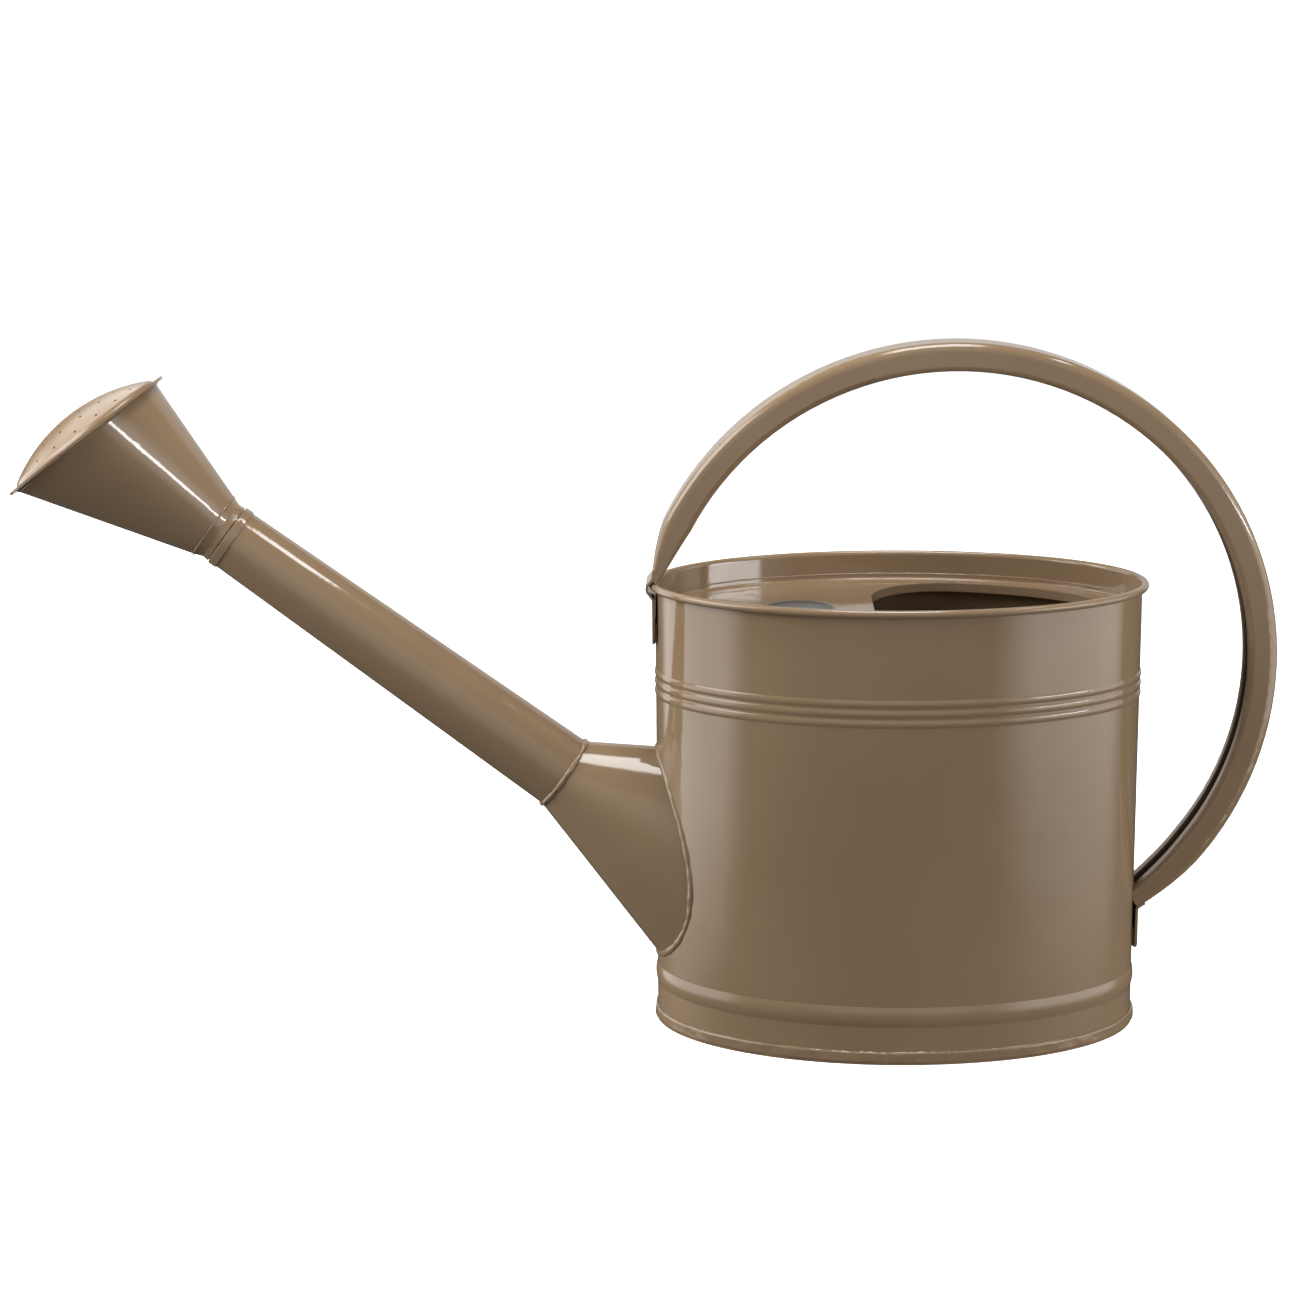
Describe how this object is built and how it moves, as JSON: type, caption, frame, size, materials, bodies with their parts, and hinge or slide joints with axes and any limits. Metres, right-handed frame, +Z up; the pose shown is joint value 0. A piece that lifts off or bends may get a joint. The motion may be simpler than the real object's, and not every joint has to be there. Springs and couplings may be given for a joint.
{
  "type": "watering can",
  "caption": "Oval enamelled steel watering can with a recessed half-open top, arched channel handle, long slanted spout and a wide pull-off domed rose.",
  "frame": {"origin": "centre of the base, on the surface the can stands on", "axes": "+Z up, -X towards the spout and rose, +X towards the back of the handle, +Y to the left of a person pouring; the can is symmetric about the XZ plane"},
  "size_m": [0.5819, 0.146, 0.3207],
  "materials": {
    "enamel": "glossy taupe stoving enamel over sheet steel, also over the solder",
    "wire_steel": "drawn steel wire, hidden in the rim",
    "label_film": "blank round clear film label"
  },
  "bodies": {
    "can": {"body_shell": "enamel", "rim_wire": "wire_steel", "base_plate": "enamel", "base_seam_solder": "enamel", "top_deck": "enamel", "deck_solder": "enamel", "label_disc": "label_film", "spout_base": "enamel", "spout_base_solder": "enamel", "spout_tube": "enamel", "spout_joint_solder": "enamel", "spout_mouth_ring": "enamel", "handle": "enamel", "handle_front_solder": "enamel", "handle_rear_solder": "enamel"},
    "rose": {"rose_neck": "enamel", "rose_neck_solder": "enamel", "rose_cone": "enamel", "rose_face": "enamel", "rose_rim_solder": "enamel"}
  },
  "joints": [
    {"name": "rose_pull_off", "type": "slide", "parent": "can", "child": "rose", "axis": [-0.8049, 0, 0.5934], "range_m": [0, 0.06]}
  ]
}
